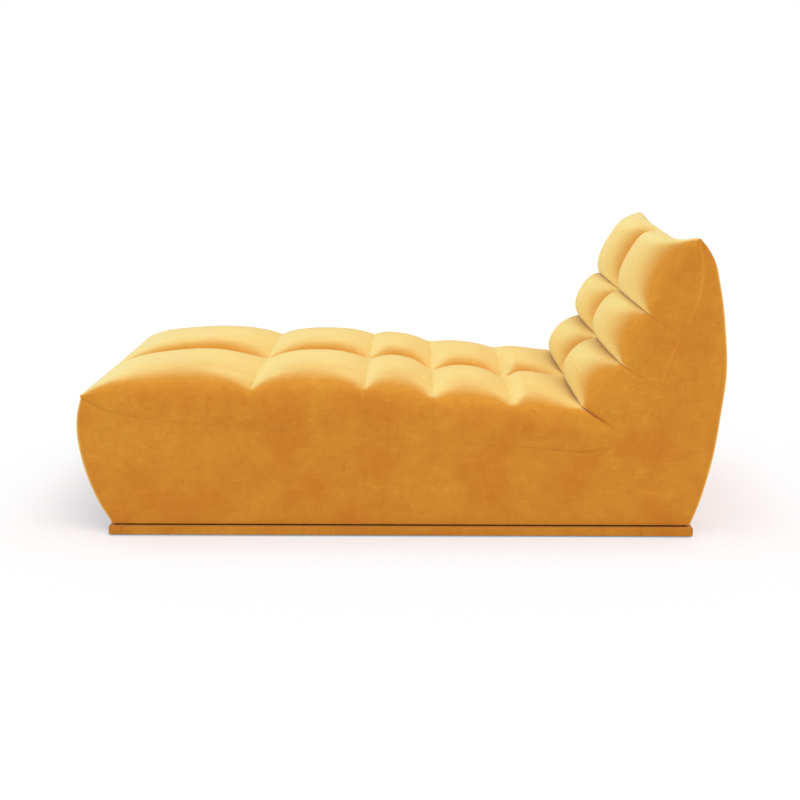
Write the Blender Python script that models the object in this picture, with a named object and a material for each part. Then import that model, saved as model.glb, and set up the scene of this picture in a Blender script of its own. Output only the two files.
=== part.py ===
# Upholstered meridienne: a long tufted seat that runs up into a raised back,
# on a covered plinth. X runs from the foot end to the back, Y across, Z up.
# The origin is on the floor, under the middle of the body.

import math

import bmesh
import bpy
from mathutils import Vector

for old in list(bpy.data.objects):
    bpy.data.objects.remove(old, do_unlink=True)

# Overall sizes, in metres
SEAT_LENGTH = 1.3845      # foot seam to the crease in front of the back
BACK_DEPTH = 0.383        # that crease to the rear seam
WIDTH = 0.95              # over the swell of both sides
HEIGHT = 0.82             # floor to the ears of the back
SEAT_HEIGHT = 0.41        # floor to the highest tufts of the seat
ROLL_DEPTH = 0.167        # those tufts down to the lowest point of the long seam
FOOT_TAPER = 0.083        # how far the foot end draws in at the floor
REAR_TAPER = 0.088        # how far the rear draws in at the floor
GAP = 0.0003              # clearance between touching pieces

# Padding and covers
COVER = 0.004             # velvet with the wadding sewn to it
SIDE_SWELL = 0.011        # sides beyond their corner seams
END_SWELL = 0.012         # foot and rear beyond their corner seams
SIDE_FOAM = 0.024
END_FOAM = 0.021
CORE_DEPTH = 0.043        # least foam between the spring deck and the long seam
BACK_CORE = 0.023
WEB = 0.002
TOP_PAD = 0.21            # soft top of the back above its frame
TOP_EDGE = 0.009          # least depth of the foam in that top
FOOT_SAG = 0.02           # foot seam below its corners at the middle
TOP_SAG = 0.022           # top seam below its ears at the middle

# Rolls
EDGE_RADIUS = 0.07        # shoulder between a roll's top and its side
PINCH = 0.034             # how far a tuft row draws a side in
SIDE_BULGE = 0.003        # a roll's side beyond its seam
RIM = 0.003               # thickness where a roll ends in a seam
SEAT_CROWNS = (0.066, 0.058, 0.05, 0.045, 0.043)
BACK_CROWNS = (0.058, 0.062, 0.078)

# Frame
PANEL = 0.018             # plywood of the side panels and the rails
HEAD_RAIL_HEIGHT = 0.11
BLOCK_LEG = 0.06
BLOCK_HEIGHT = 0.06
CLIP_WIDTH = 0.012
CLIP_HEIGHT = 0.01
WIRE = 0.004
SPRING_SWING = 0.018      # zigzag to each side of a spring's line
SPRING_END_MARGIN = 0.006
SPRING_COUNT = 5
SPRING_BENDS = 17
DUST_COVER = 0.0012

# Plinth
PLINTH_HEIGHT = 0.0265
PLINTH_PROUD = 0.005      # plinth beyond the foot of the body, front and rear
PLINTH_SIDE_PROUD = 0.014  # and beyond the corner seams of the sides
PLINTH_RAIL_WIDTH = 0.092
PLINTH_COVER = 0.0022
PLINTH_FLANGE = 0.016     # plinth cover turned in over and under the rail
PLINTH_EASE = 0.0015      # eased upper and lower edges of the plinth cover
FLOOR_CLEARANCE = 0.003
SHADOW_GAP = 0.005        # between the plinth and the body
GLIDE_RADIUS = 0.014
GLIDE_INSET = 0.045
SCREW_RADIUS = 0.0025
SCREW_HEAD_RADIUS = 0.0055
SCREW_HEAD = 0.003
SCREW_SINK = 0.004        # depth of the head below the rail's underside
SCREW_REACH = 0.035       # thread inside a corner block
SCREW_CLEARANCE = 0.0004
OVERRUN = 0.002           # cutters beyond what they cut

# Outlines, as shares of the sizes that they follow. Foot and rear edges: how far
# the edge lies inside its widest point, as a share of its taper, and its height.
FOOT_EDGE_SHARES = ((1, 0), (0.59, 0.17), (0.27, 0.365), (0.075, 0.56), (0, 0.72), (0.04, 0.86), (0.2, 1))
REAR_EDGE_SHARES = ((0.87, 0), (0.6, 0.085), (0.28, 0.238), (0.105, 0.396), (0, 0.554),
                    (0.137, 0.72), (0.282, 0.817), (0.49, 0.913), (0.76, 0.969), (1, 1))
# Long seam between the foot's corner and the ear: place along the seat (below 0)
# or the back (above 0), and depth below the tufts (above 0) or height over them.
SEAM_SHARES = ((-0.936, 0.317), (-0.852, 0.473), (-0.755, 0.548), (-0.655, 0.611),
               (-0.5416, 0.692), (-0.429, 0.754), (-0.295, 0.82), (-0.14, 0.904),
               (-0.067, 0.958), (0, 1), (0.165, 0.94), (0.333, 0.749), (0.44, 0.509),
               (0.531, -0.02), (0.611, -0.2415), (0.664, -0.361), (0.733, -0.5),
               (0.784, -0.634), (0.8, -0.805))
TIP_DEPTH_SHARE = 0.114
# Tuft rows: knot of the long seam that each starts from, place along, depth at
# the sides and depth at the middle.
TUFT_SHARES = ((4, -0.6539, 0, 0), (6, -0.4294, 0, 0), (7, -0.2947, 0.138, 0.192),
               (8, -0.1354, 0.263, 0.335), (12, 0, 0.311, 0.311),
               (14, 0.2533, -0.159, -0.159), (16, 0.416, -0.4976, -0.4976))
SIDE_STEP_SHARES = (0, 0.5, 1)
TOP_STEP_SHARES = (0.84, 0.66, 0.5, 0.34, 0.18, 0.07, 0)
ROW_STEP_SHARES = (0, 0.07, 0.2, 0.35, 0.5, 0.65, 0.8, 0.93, 1)
SHOULDER_ANGLE_SHARES = (1 / 3, 2 / 3, 1)
MID_SEAM_SHARE = 0.35     # how much of the crown the middle seam keeps
SHOULDER_SHARES = (0.65, 0.57, 0.55, 0.45, 0.42, 0.62, 0.62, 0.62)
BOW_SHARES = (0.42, 0.42, 0.42, 0.42, 0.42, 0.15, 0.25, 0.3)
EDGE_ROWS = 9             # rows of the side, foot and rear panels
ACROSS_SHARES = (-1, -0.8, -0.5, -0.2, 0, 0.2, 0.5, 0.8, 1)
BOTTOM_SHARES = (-1, -0.8, -0.5, -0.2, 0.2, 0.5, 0.8, 1)
WEB_SHARES = ((0.22, 0.42), (0.64, 0.84))
NEAR_KNOT_SHARE = 0.03    # least step between the sections of a roll

# Powers of the swelling: the higher, the flatter the middle and the tighter the ends
SWELL_POWER = 8
SWELL_RISE_POWER = 2.5
END_SWELL_POWER = 4
SAG_POWER = 2.5
FOOT_SAG_POWER = 4
ROLL_POWER = 2.5
FOOT_ROLL_POWER = 4.5
MID_SEAM_POWER = 3.5
SWING_POWER = 3

EAR_LEAN = 25             # degrees that the edge at an ear leans back
SHARP_ANGLE = 40          # degrees above which an edge stays crisp
TRIM_STEPS = 64
TRIM_HALVINGS = 20

# Places worked out from the sizes
half_width = WIDTH / 2 - SIDE_SWELL - SIDE_BULGE
foot_x = -(SEAT_LENGTH + BACK_DEPTH) / 2
crease_x = foot_x + SEAT_LENGTH
rear_x = crease_x + BACK_DEPTH
body_bottom = PLINTH_HEIGHT + SHADOW_GAP
frame_bottom = PLINTH_HEIGHT + DUST_COVER + 2 * GAP
deck = SEAT_HEIGHT - ROLL_DEPTH - CORE_DEPTH
tip_z = SEAT_HEIGHT - TIP_DEPTH_SHARE * ROLL_DEPTH
frame_top = HEIGHT - TOP_PAD
frame_half = half_width - COVER - SIDE_FOAM - 2 * GAP
frame_foot_x = foot_x + FOOT_TAPER + COVER + END_FOAM + 2 * GAP

assembly = bpy.data.objects.new("meridienne", None)

FINISHES = {
    "velvet": ((0.86, 0.42, 0.07), 0.75, 0.0),
    "wadding foam": ((0.85, 0.8, 0.62), 0.9, 0.0),
    "beech plywood": ((0.62, 0.45, 0.28), 0.6, 0.0),
    "spring steel": ((0.55, 0.56, 0.58), 0.35, 1.0),
    "clip plastic": ((0.12, 0.12, 0.13), 0.5, 0.0),
    "webbing": ((0.2, 0.19, 0.17), 0.85, 0.0),
    "dust cloth": ((0.05, 0.05, 0.055), 0.9, 0.0),
    "glide felt": ((0.09, 0.08, 0.08), 0.95, 0.0),
}


def finish(name, kind):
    colour, roughness, metallic = FINISHES[kind]
    material = bpy.data.materials.new(name + " " + kind)
    material.use_nodes = True
    shader = material.node_tree.nodes["Principled BSDF"]
    shader.inputs["Base Color"].default_value = (*colour, 1.0)
    shader.inputs["Roughness"].default_value = roughness
    shader.inputs["Metallic"].default_value = metallic
    return material


def place(name, data, kind, location=(0, 0, 0)):
    piece = bpy.data.objects.new(name, data)
    bpy.context.collection.objects.link(piece)
    piece.location = location
    piece.parent = assembly
    data.materials.append(finish(name, kind))
    return piece


def solid(name, points, faces, kind, location=(0, 0, 0)):
    mesh = bpy.data.meshes.new(name)
    shape = bmesh.new()
    corners = [shape.verts.new(point) for point in points]
    for face in faces:
        shape.faces.new([corners[i] for i in face])
    bmesh.ops.recalc_face_normals(shape, faces=shape.faces)
    shape.to_mesh(mesh)
    shape.free()
    return place(name, mesh, kind, location)


# Curves in the XZ plane

def blend(a, b, share):
    return a + (b - a) * share


def clamp(value):
    return min(1.0, max(0.0, value))


def dome(share, power):
    # 0 at both ends of 0 to 1, and 1 at the middle
    return 1 - abs(2 * share - 1) ** power


def spline(knots, place_along):
    # Catmull-Rom curve; place_along counts knots
    i = min(int(place_along), len(knots) - 2)
    s = place_along - i
    start = knots[i]
    end = knots[i + 1]
    before = knots[i - 1] if i else 2 * start - end
    after = knots[i + 2] if i + 2 < len(knots) else 2 * end - start
    linear = end - before
    square = 2 * before - 5 * start + 4 * end - after
    cube = 3 * start - before - 3 * end + after
    return (2 * start + linear * s + square * s ** 2 + cube * s ** 3) / 2


def polyline(points, place_along):
    i = min(int(place_along), len(points) - 2)
    return points[i].lerp(points[i + 1], place_along - i)


def offset(points, distance):
    # Moves a run of points to its right by the distance
    moved = []
    for i, point in enumerate(points):
        before = points[max(i - 1, 0)]
        after = points[min(i + 1, len(points) - 1)]
        along = (after - before).normalized()
        moved.append(point + distance * Vector((along.y, -along.x)))
    return moved


def behind_seam(point):
    # Distance from the long seam, below 0 on the side of the rolls
    nearest = math.inf
    for start, end in zip(seam, seam[1:]):
        along = end - start
        share = clamp((point - start).dot(along) / along.length_squared)
        away = point - start - share * along
        if away.length < abs(nearest):
            nearest = math.copysign(away.length, -along.cross(point - start))
    return nearest


def trimmed(points, clearance):
    # Shortens a run that climbs to the long seam so that it stops clear of the seam
    last = len(points) - 1

    def clears(share):
        return behind_seam(polyline(points, share * last)) >= clearance

    met = [i for i in range(TRIM_STEPS // 2, TRIM_STEPS + 1) if not clears(i / TRIM_STEPS)]
    high = met[0] / TRIM_STEPS if met else 1.0
    low = high - 1 / TRIM_STEPS if met else 1.0
    for _ in range(TRIM_HALVINGS):
        middle = (low + high) / 2
        if clears(middle):
            low = middle
        else:
            high = middle
    cut = low * last
    kept = math.ceil(cut) - 1
    rest = [blend(kept, cut, i / (last - kept)) for i in range(1, last - kept + 1)]
    return points[:kept + 1] + [polyline(points, place_along) for place_along in rest]


def edge(taper_x, taper, shares, top):
    return [Vector((taper_x + taper * inward, blend(body_bottom, top, height)))
            for inward, height in shares]


def along_body(share):
    return crease_x + share * (SEAT_LENGTH if share < 0 else BACK_DEPTH)


def below_tufts(share):
    return SEAT_HEIGHT - share * (ROLL_DEPTH if share > 0 else HEIGHT - SEAT_HEIGHT)


def by_height(points, z):
    # X of a rising run of points at a height
    for start, end in zip(points, points[1:]):
        if z <= end.y:
            return blend(start.x, end.x, clamp((z - start.y) / (end.y - start.y)))
    return points[-1].x


foot_knots = edge(foot_x, FOOT_TAPER, FOOT_EDGE_SHARES, tip_z)
rear_knots = edge(rear_x, -REAR_TAPER, REAR_EDGE_SHARES, HEIGHT)
foot_edge = [spline(foot_knots, (len(foot_knots) - 1) * j / EDGE_ROWS) for j in range(EDGE_ROWS + 1)]
rear_edge = [spline(rear_knots, (len(rear_knots) - 1) * j / EDGE_ROWS) for j in range(EDGE_ROWS + 1)]
seam = [foot_edge[-1]]
seam += [Vector((along_body(along), below_tufts(depth))) for along, depth in SEAM_SHARES]
seam.append(rear_edge[-1])
low_knot = 1 + SEAM_SHARES.index((0, 1))
back_knot = TUFT_SHARES[4][0]
last_knot = len(seam) - 1


def swell_half(point):
    # Half width of the body at a point of the side, seams and all
    left = by_height(foot_edge, point.y)
    right = by_height(rear_edge, point.y)
    along = dome(clamp((point.x - left) / (right - left)), SWELL_POWER)
    up = 1 - (1 - clamp((point.y - body_bottom) / (seam[low_knot].y - body_bottom))) ** SWELL_RISE_POWER
    return half_width + SIDE_SWELL * along * up


def settled(point, y):
    # A seam between two corners hangs a little at the middle of the width
    middle = 1 - min(1, abs(y) / frame_half) ** SAG_POWER
    still = seam[TUFT_SHARES[0][0]]
    near_foot = clamp((still.x - point.x) / (still.x - seam[0].x)) ** 2
    near_foot *= clamp((point.y - body_bottom) / (tip_z - body_bottom)) ** FOOT_SAG_POWER
    near_top = clamp((point.y - frame_top) / (HEIGHT - frame_top)) ** 2
    down = Vector((0, -FOOT_SAG)) * near_foot + Vector((-TOP_SAG, -TOP_SAG)) * near_top
    return point + down * middle


# Frame edges behind the soft layers

core_under = []
thin = BACK_CORE + WEB + 2 * GAP
for k, point in enumerate(offset(seam, CORE_DEPTH)):
    share = clamp((k - low_knot) / (back_knot - low_knot))
    core_under.append(seam[k] + (point - seam[k]) * blend(1, thin / CORE_DEPTH, share))
core_under[low_knot] = Vector((seam[low_knot].x, deck))
frame_rear = offset(rear_edge, -(COVER + END_FOAM + 2 * GAP))
foam_rear = trimmed(offset(rear_edge, -(COVER + END_FOAM + GAP)), COVER)


def knot_at_height(points, z):
    for i, (start, end) in enumerate(zip(points, points[1:])):
        if end.y >= z:
            return i + (z - start.y) / (end.y - start.y)
    return len(points) - 1


front_top = knot_at_height(core_under[low_knot:], frame_top) + low_knot
rear_top = knot_at_height(frame_rear, frame_top)


def run(points, start, end):
    # Points of a run from one place to another, ends included
    whole = [i for i in range(len(points)) if start < i < end]
    return [polyline(points, start)] + [points[i] for i in whole] + [polyline(points, end)]


# Boards and slabs

def slab(name, outline, y0, y1, kind):
    count = len(outline)
    points = [(p.x, y, p.y) for y in (y0, y1) for p in outline]
    faces = [[i, (i + 1) % count, count + (i + 1) % count, count + i] for i in range(count)]
    faces += [list(range(count)), list(range(count, 2 * count))]
    return solid(name, points, faces, kind)


def box(name, x0, x1, y0, y1, z0, z1, kind):
    outline = [Vector((x0, z0)), Vector((x1, z0)), Vector((x1, z1)), Vector((x0, z1))]
    return slab(name, outline, min(y0, y1), max(y0, y1), kind)


def turned(name, profile, x, y, kind, sides=12):
    # Round solid about a vertical axis from (radius, height) rings
    points = []
    for radius, z in profile:
        for i in range(sides):
            angle = 2 * math.pi * i / sides
            points.append((radius * math.cos(angle), radius * math.sin(angle), z))
    faces = [list(range(sides)), [len(points) - sides + i for i in range(sides)]]
    for ring in range(len(profile) - 1):
        for i in range(sides):
            a = ring * sides + i
            b = ring * sides + (i + 1) % sides
            faces.append([a, b, b + sides, a + sides])
    return solid(name, points, faces, kind, (x, y, 0))


def drill(pieces, profile, x, y):
    cutter = turned("screw_cutter", profile, x, y, "spring steel")
    cutter.hide_render = True
    cutter.display_type = "WIRE"
    for piece in pieces:
        cut = piece.modifiers.new("screw hole", "BOOLEAN")
        cut.operation = "DIFFERENCE"
        cut.object = cutter
        cut.solver = "EXACT"


# Plinth: four flat rails in a covering of the same velvet, on glides

plinth_foot_x = foot_knots[0].x - PLINTH_PROUD
plinth_rear_x = rear_knots[0].x + PLINTH_PROUD
plinth_half = half_width + PLINTH_SIDE_PROUD
rail_bottom = FLOOR_CLEARANCE + PLINTH_COVER + GAP
rail_top = PLINTH_HEIGHT - PLINTH_COVER - GAP
skin = PLINTH_COVER + GAP


def plinth_rails():
    outer = plinth_half - skin
    inner = outer - PLINTH_RAIL_WIDTH
    x0 = plinth_foot_x + skin
    x1 = plinth_rear_x - skin
    rails = {}
    for side, sign in (("left", -1), ("right", 1)):
        name = "plinth_rail_" + side
        rails[sign] = box(name, x0, x1, sign * inner, sign * outer, rail_bottom, rail_top, "beech plywood")
    ends = (("foot", x0, x0 + PLINTH_RAIL_WIDTH), ("head", x1 - PLINTH_RAIL_WIDTH, x1))
    for end, start, stop in ends:
        name = "plinth_rail_" + end
        box(name, start, stop, GAP - inner, inner - GAP, rail_bottom, rail_top, "beech plywood")
    return rails


def plinth_covers():
    # A channel of (depth from the outer face, height), mitred at the corners
    top = PLINTH_HEIGHT
    low = FLOOR_CLEARANCE
    ease = PLINTH_EASE
    channel = ((ease, low), (PLINTH_FLANGE, low), (PLINTH_FLANGE, low + PLINTH_COVER),
               (PLINTH_COVER, low + PLINTH_COVER), (PLINTH_COVER, top - PLINTH_COVER),
               (PLINTH_FLANGE, top - PLINTH_COVER), (PLINTH_FLANGE, top), (ease, top),
               (0, top - ease), (0, low + ease))
    middle_x = (plinth_foot_x + plinth_rear_x) / 2
    half_length = (plinth_rear_x - plinth_foot_x) / 2
    sides = (("left", 0, -1), ("right", 0, 1), ("foot", -1, 0), ("head", 1, 0))
    count = len(channel)
    for side, sx, sy in sides:
        points = []
        for end in (-1, 1):
            for depth, z in channel:
                if sy:
                    x = middle_x + end * (half_length - depth - GAP)
                    points.append((x, sy * (plinth_half - depth), z))
                else:
                    x = middle_x + sx * (half_length - depth)
                    points.append((x, end * (plinth_half - depth - GAP), z))
        faces = [[i, (i + 1) % count, count + (i + 1) % count, count + i] for i in range(count)]
        faces += [list(range(count)), list(range(count, 2 * count))]
        solid("plinth_cover_" + side, points, faces, "velvet")


def glides():
    y = plinth_half - GLIDE_INSET
    stations = (plinth_foot_x + GLIDE_INSET, (plinth_foot_x + plinth_rear_x) / 2, plinth_rear_x - GLIDE_INSET)
    profile = ((GLIDE_RADIUS, 0), (GLIDE_RADIUS, rail_bottom - GAP))
    places = [(x, side * y) for x in stations for side in (-1, 1)]
    for i, (x, across) in enumerate(places):
        turned("glide_%d" % (i + 1), profile, x, across, "glide felt")


# Frame: two ply side panels joined by rails, with blocks in the bottom corners

frame_outline = [Vector((frame_foot_x, frame_bottom)), Vector((frame_foot_x, deck))]
frame_outline += run(core_under, low_knot, front_top)
frame_outline += reversed(run(frame_rear, 0, rear_top))
frame_outline.append(Vector((frame_rear[0].x, frame_bottom)))
inner_half = frame_half - PANEL - GAP


def frame():
    for side, sign in (("left", -1), ("right", 1)):
        y0, y1 = sorted((sign * frame_half, sign * (frame_half - PANEL)))
        slab("side_panel_" + side, frame_outline, y0, y1, "beech plywood")
    x = frame_foot_x
    box("foot_rail", x, x + PANEL, -inner_half, inner_half, frame_bottom, deck, "beech plywood")
    x = seam[low_knot].x - PANEL
    low = (frame_bottom + deck) / 2
    box("seat_cross_rail", x, x + PANEL, -inner_half, inner_half, low, deck, "beech plywood")
    head_top = knot_at_height(frame_rear, frame_rear[0].y + HEAD_RAIL_HEIGHT)
    rear_low = run(frame_rear, 0, head_top)
    rear_low.insert(0, Vector((rear_low[0].x, frame_bottom)))
    across_rail("head_rail", rear_low, -PANEL)
    lumbar_top = back_knot + 1
    across_rail("back_lumbar_rail", run(core_under, back_knot - 1, lumbar_top), PANEL)
    across_rail("back_top_rail", run(core_under, front_top - 1, front_top), PANEL)


def across_rail(name, face, depth):
    behind = offset(face, depth)
    slab(name, face + list(reversed(behind)), -inner_half, inner_half, "beech plywood")


def corner_blocks():
    # The head rail leans back, so its lowest point is the one nearest to a block
    inner = inner_half
    ends = ((frame_foot_x + PANEL + GAP, 1), (frame_rear[0].x - PANEL - GAP, -1))
    blocks = []
    for x, sx in ends:
        for sy in (-1, 1):
            name = "corner_block_%d" % (len(blocks) + 1)
            plan = ((x, sy * inner), (x + sx * BLOCK_LEG, sy * inner), (x, sy * (inner - BLOCK_LEG)))
            points = [(px, py, z) for z in (frame_bottom, frame_bottom + BLOCK_HEIGHT) for px, py in plan]
            faces = [[0, 1, 2], [3, 4, 5], [0, 1, 4, 3], [1, 2, 5, 4], [2, 0, 3, 5]]
            block = solid(name, points, faces, "beech plywood")
            blocks.append((block, x + sx * BLOCK_LEG / 3, sy * (inner - BLOCK_LEG / 3), sy))
    return blocks


def dust_cover():
    x0 = frame_foot_x
    x1 = frame_rear[0].x
    z0 = PLINTH_HEIGHT + GAP
    return box("dust_cover", x0, x1, -frame_half, frame_half, z0, z0 + DUST_COVER, "dust cloth")


def screws(rails, dust, blocks):
    head_bottom = rail_bottom + SCREW_SINK - SCREW_HEAD
    head_top = head_bottom + SCREW_HEAD
    tip = frame_bottom + SCREW_REACH
    profile = ((SCREW_HEAD_RADIUS, head_bottom), (SCREW_HEAD_RADIUS, head_top),
               (SCREW_RADIUS, head_top), (SCREW_RADIUS, tip))
    wide = SCREW_HEAD_RADIUS + SCREW_CLEARANCE
    narrow = SCREW_RADIUS + SCREW_CLEARANCE
    hole = ((wide, rail_bottom - OVERRUN), (wide, head_top + GAP),
            (narrow, head_top + GAP), (narrow, tip + GAP))
    for i, (block, x, y, sy) in enumerate(blocks):
        turned("plinth_screw_%d" % (i + 1), profile, x, y, "spring steel", sides=8)
        drill((rails[sy], dust, block), hole, x, y)


# Seat springs: zigzag wires that run across, on a clip strip along each panel

def springs():
    strip_top = deck - WIRE - GAP
    x0 = frame_foot_x + PANEL + GAP
    x1 = seam[low_knot].x - PANEL - GAP
    for side, sign in (("left", -1), ("right", 1)):
        y0 = sign * inner_half
        y1 = sign * (inner_half - CLIP_WIDTH)
        box("spring_clip_strip_" + side, x0, x1, y0, y1, strip_top - CLIP_HEIGHT, strip_top, "clip plastic")
    reach = inner_half - SPRING_END_MARGIN
    for i in range(SPRING_COUNT):
        x = blend(x0, x1, (i + 1) / (SPRING_COUNT + 1))
        curve = bpy.data.curves.new("seat_spring", "CURVE")
        curve.dimensions = "3D"
        curve.bevel_depth = WIRE / 2
        curve.bevel_resolution = 0
        curve.use_fill_caps = True
        line = curve.splines.new("POLY")
        line.points.add(SPRING_BENDS - 1)
        for j, point in enumerate(line.points):
            swing = 0 if j in (0, SPRING_BENDS - 1) else SPRING_SWING * (-1) ** j
            y = blend(-reach, reach, j / (SPRING_BENDS - 1))
            point.co = (x + swing, y, deck - WIRE / 2, 1)
        place("seat_spring_%d" % (i + 1), curve, "spring steel")


# Foam layers behind and under the rolls

def cores():
    start = next(k for k in range(last_knot) if seam[k + 1].x > frame_foot_x)
    first = start + (frame_foot_x - seam[start].x) / (seam[start + 1].x - seam[start].x)
    top = [settled(point, 0) for point in run(offset(seam, GAP), first, back_knot)]
    top[0].x = frame_foot_x
    under = offset(run(core_under, low_knot, back_knot), -GAP)
    under[0] = Vector((seam[low_knot].x, deck + GAP))
    under.insert(0, Vector((frame_foot_x, deck + GAP)))
    slab("seat_core", top + list(reversed(under)), -frame_half, frame_half, "wadding foam")
    start = back_knot + GAP / (seam[back_knot + 1] - seam[back_knot]).length
    seam_layer("back_core", start, front_top, GAP, BACK_CORE, "wadding foam")
    span = front_top - back_knot
    depth = BACK_CORE + GAP
    for i, (low, high) in enumerate(WEB_SHARES):
        ends = (back_knot + span * low, back_knot + span * high)
        seam_layer("back_web_%d" % (i + 1), *ends, depth, depth + WEB, "webbing")


def seam_layer(name, start, end, near, far, kind):
    # A sheet that follows the long seam at a depth behind it
    front = run(offset(seam, near), start, end)
    rear = run(offset(seam, far), start, end)
    slab(name, front + rear[::-1], -frame_half, frame_half, kind)


def back_top_foam():
    # A wedge between the highest roll and the rear padding, above the frame
    rear = [settled(point, 0) - Vector((2 * GAP, 0)) for point in foam_rear]
    rear = run(rear, knot_at_height(rear, frame_top + GAP), len(rear) - 1)
    front = run(offset(seam, GAP), front_top, last_knot)
    climb = (seam[math.ceil(front_top)] - polyline(seam, front_top)).normalized() * GAP
    front[0] += climb
    kept = [point for point in rear if point.x - by_height(front, point.y) > TOP_EDGE]
    top = kept[-1].y
    outline = [point for point in front if point.y < top]
    outline.append(Vector((by_height(front, top), top)))
    outline += reversed(kept)
    outline.append(polyline(core_under, front_top) + climb)
    slab("back_top_foam", outline, -frame_half, frame_half, "wadding foam")


# Panels: side, foot and rear, each a cover over its foam

def side_grid(inset, clearance):
    # Patch between the bottom, the foot edge, the rear edge and the long seam
    foot = trimmed(offset(foot_edge, inset), clearance)
    rear = trimmed(offset(rear_edge, -inset), clearance)
    straight = (seam[low_knot].x - seam[0].x) / (rear_edge[0].x - seam[0].x)
    grid = []
    for k, top in enumerate(seam):
        if k <= low_knot:
            g = (top.x - seam[0].x) / (rear_edge[0].x - seam[0].x)
        else:
            g = blend(straight, 1, (k - low_knot) / (last_knot - low_knot))
        column = []
        for low, high in zip(foot_edge, rear_edge):
            foot_share = (low.y - body_bottom) / (tip_z - body_bottom)
            rear_share = (high.y - body_bottom) / (HEIGHT - body_bottom)
            level = foot_edge[0].lerp(rear_edge[0], g).lerp(top, blend(foot_share, rear_share, g))
            foot_swing = low.x - blend(foot_edge[0].x, foot_edge[-1].x, foot_share)
            rear_swing = high.x - blend(rear_edge[0].x, rear_edge[-1].x, rear_share)
            swing = (1 - g) ** SWING_POWER * foot_swing + g ** SWING_POWER * rear_swing
            column.append(level + Vector((swing, 0)))
        grid.append(trimmed(column, clearance))
    grid[0] = foot
    grid[-1] = rear
    return grid


def shell(name, outer, inner, kind):
    # Closed body between two grids of points that have the same rows and columns
    columns = len(outer)
    rows = len(outer[0])
    count = columns * rows
    points = [p for column in outer for p in column] + [p for column in inner for p in column]
    faces = []
    for i in range(columns - 1):
        for j in range(rows - 1):
            a = i * rows + j
            # Both sides of a twisted facet are split along the same diagonal
            faces.append([a, a + rows, a + rows + 1, a + 1])
            faces.append([count + a, count + a + 1, count + a + rows + 1, count + a + rows])
    rim = [i * rows for i in range(columns)]
    rim += [(columns - 1) * rows + j for j in range(1, rows)]
    rim += [i * rows + rows - 1 for i in range(columns - 2, -1, -1)]
    rim += list(range(rows - 2, 0, -1))
    for a, b in zip(rim, rim[1:] + rim[:1]):
        faces.append([a, count + a, count + b, b])
    return solid(name, points, faces, kind)


def side_panels():
    outer = side_grid(GAP, GAP)
    inner = side_grid(COVER + GAP, GAP)
    foam = side_grid(COVER + 3 * GAP, 2 * GAP)
    split = [p.lerp(q, GAP / (q - p).length) for p, q in zip(foam[low_knot], foam[low_knot + 1])]
    parts = (("seat", foam[:low_knot + 1]), ("back", [split] + foam[low_knot + 1:]))
    for side, sign in (("left", -1), ("right", 1)):
        def lifted(grid, depth):
            return [[(p.x, sign * (swell_half(p) - depth), p.y) for p in column] for column in grid]

        def flat(grid):
            return [[(p.x, sign * (frame_half + GAP), p.y) for p in column] for column in grid]

        shell("side_cover_" + side, lifted(outer, 0), lifted(inner, COVER), "velvet")
        for part, grid in parts:
            name = "side_foam_" + part + "_" + side
            shell(name, lifted(grid, COVER + GAP), flat(grid), "wadding foam")


def end_grid(edge_points, direction, depth, across, clearance):
    # Swollen panel across the width between the two corner seams of an end
    reach = trimmed(offset(edge_points, -direction * depth), clearance)
    swollen = trimmed(offset(edge_points, -direction * (depth - END_SWELL)), clearance)
    grid = []
    for y in across:
        swell = 1 - abs(y / half_width) ** END_SWELL_POWER
        column = []
        for j, (point, proud) in enumerate(zip(reach, swollen)):
            lift = swell * dome(j / EDGE_ROWS, 2)
            column.append(settled(point.lerp(proud, lift), y))
        grid.append([(p.x, y, p.y) for p in column])
    return grid


def end_panels():
    foam_across = [share * frame_half for share in ACROSS_SHARES]
    outer_half = half_width - GAP
    inner_half_cover = outer_half - COVER
    outer_across = [-outer_half] + foam_across + [outer_half]
    inner_across = [-inner_half_cover] + foam_across + [inner_half_cover]
    for name, points, direction in (("foot", foot_edge, -1), ("rear", rear_edge, 1)):
        clearance = 2 * GAP if direction < 0 else RIM + GAP
        outer = end_grid(points, direction, 0, outer_across, clearance)
        inner = end_grid(points, direction, COVER, inner_across, clearance)
        shell(name + "_cover", outer, inner, "velvet")
    rear_outer = end_grid(rear_edge, 1, COVER + GAP, foam_across, COVER + RIM + GAP)
    rear_inner = []
    for y in foam_across:
        rear_inner.append([(p.x, y, p.y) for p in (settled(q, y) for q in foam_rear)])
    shell("rear_foam", rear_outer, rear_inner, "wadding foam")
    foot_outer = end_grid(foot_edge, -1, COVER + GAP, foam_across, COVER + RIM + GAP)
    rest_z = seam_height(frame_foot_x) - FOOT_SAG
    heights = [blend(body_bottom, rest_z, j / EDGE_ROWS) for j in range(EDGE_ROWS + 1)]
    foot_inner = [[(frame_foot_x - GAP, y, z) for z in heights] for y in foam_across]
    shell("foot_foam", foot_outer, foot_inner, "wadding foam")


def seam_height(x):
    for start, end in zip(seam, seam[1:]):
        if x <= end.x:
            return blend(start.y, end.y, (x - start.x) / (end.x - start.x))


# Rolls: tufted cells across the seat and the back, one node for each row

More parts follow.
